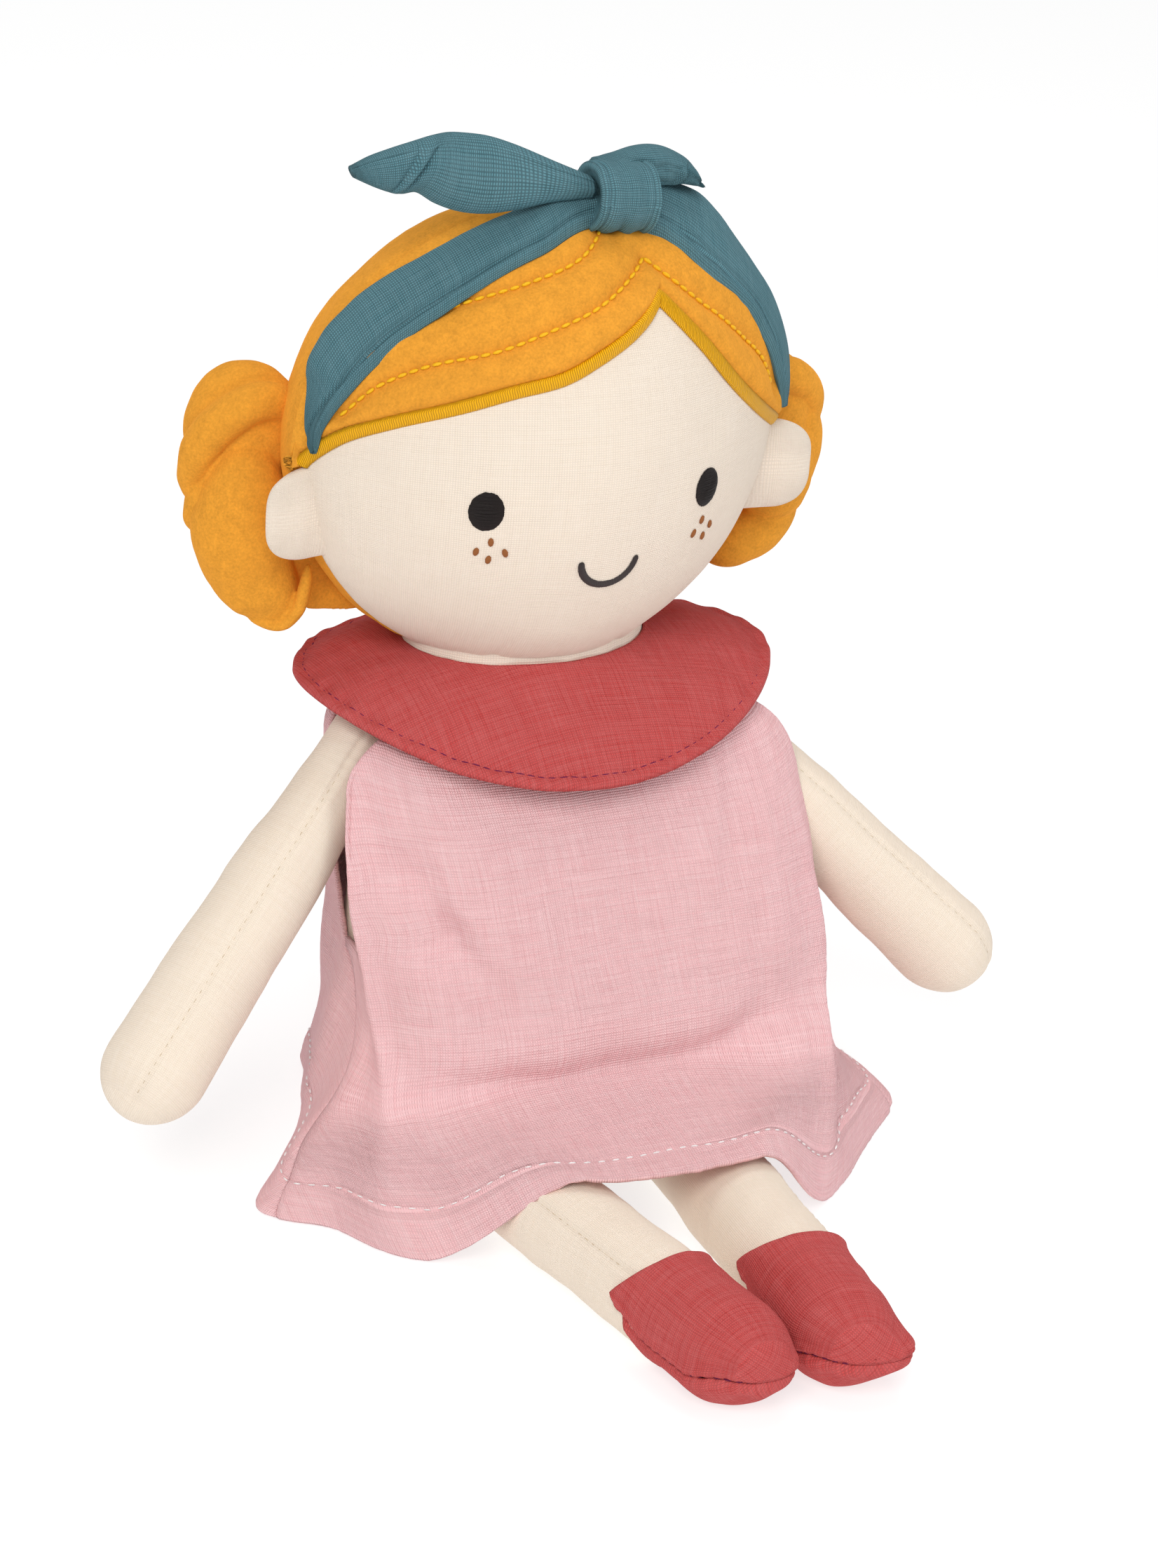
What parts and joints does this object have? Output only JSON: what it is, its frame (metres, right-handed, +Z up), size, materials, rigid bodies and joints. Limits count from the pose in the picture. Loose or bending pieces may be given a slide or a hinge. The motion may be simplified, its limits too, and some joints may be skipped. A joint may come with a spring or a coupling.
{
  "type": "stuffed cloth rag doll",
  "caption": "Stuffed linen doll that sits with its legs stretched out, with felt hair buns, a knotted headband, a flared dress, a cape collar and cloth shoes.",
  "frame": {"origin": "middle of the flat seat, on the surface that the doll sits on", "axes": "+Z up, -Y the way the doll faces and its legs point, +X the doll's left"},
  "size_m": [0.252, 0.2372, 0.265],
  "materials": {
    "linen_skin": "matt plain-weave linen, off white",
    "stuffing": "loose polyester filling, white",
    "hair_felt": "matt wool felt, honey",
    "satin_gold": "satin-stitched embroidery thread, golden yellow",
    "teal_linen": "matt plain-weave linen, grey teal",
    "pink_linen": "matt plain-weave linen, pale pink",
    "red_linen": "matt plain-weave linen, brick red",
    "black_thread": "filled embroidery, charcoal thread"
  },
  "bodies": {
    "torso": {"torso_cover": "linen_skin", "torso_stuffing": "stuffing", "dress_front": "pink_linen", "dress_back": "pink_linen", "collar": "red_linen"},
    "neck": {"neck_cover": "linen_skin", "neck_stuffing": "stuffing"},
    "head": {"face_panel": "linen_skin", "ear_right": "linen_skin", "ear_left": "linen_skin", "hair_front_panel": "hair_felt", "hair_back_panel": "hair_felt", "hair_bun_right": "hair_felt", "hair_bun_left": "hair_felt", "hairline_border": "satin_gold", "head_stuffing": "stuffing", "mouth_embroidery": "black_thread", "eye_right": "black_thread", "eye_left": "black_thread", "headband": "teal_linen", "bow_knot": "teal_linen", "bow_long_end": "teal_linen", "bow_short_end": "teal_linen"},
    "arm_right": {"arm_cover_right": "linen_skin", "arm_stuffing_right": "stuffing"},
    "leg_right": {"leg_cover_right": "linen_skin", "leg_stuffing_right": "stuffing", "shoe_upper_right": "red_linen", "shoe_sole_right": "red_linen"},
    "arm_left": {"arm_cover_left": "linen_skin", "arm_stuffing_left": "stuffing"},
    "leg_left": {"leg_cover_left": "linen_skin", "leg_stuffing_left": "stuffing", "shoe_upper_left": "red_linen", "shoe_sole_left": "red_linen"}
  },
  "joints": [
    {"name": "neck_turn", "type": "hinge", "parent": "torso", "child": "neck", "pos_m": [0.01, 0.015, 0.122], "axis": [0, 0, 1], "range_deg": [-45, 45]},
    {"name": "head_nod", "type": "hinge", "parent": "neck", "child": "head", "pos_m": [0.01, 0.015, 0.122], "axis": [1, 0, 0], "range_deg": [-15, 18], "deforming": ["neck_cover", "neck_stuffing", "collar"]},
    {"name": "shoulder_right", "type": "hinge", "parent": "torso", "child": "arm_right", "pos_m": [-0.0361, 0.0072, 0.105], "axis": [-1, 0, 0], "range_deg": [-40, 60], "deforming": ["dress_front"]},
    {"name": "shoulder_left", "type": "hinge", "parent": "torso", "child": "arm_left", "pos_m": [0.0539, 0.0072, 0.105], "axis": [-1, 0, 0], "range_deg": [-40, 60], "deforming": ["dress_back"]},
    {"name": "hip_right", "type": "hinge", "parent": "torso", "child": "leg_right", "pos_m": [-0.03, -0.024, 0.0123], "axis": [1, 0, 0], "range_deg": [0, 90]},
    {"name": "hip_left", "type": "hinge", "parent": "torso", "child": "leg_left", "pos_m": [0.03, -0.024, 0.0123], "axis": [1, 0, 0], "range_deg": [0, 90]}
  ]
}
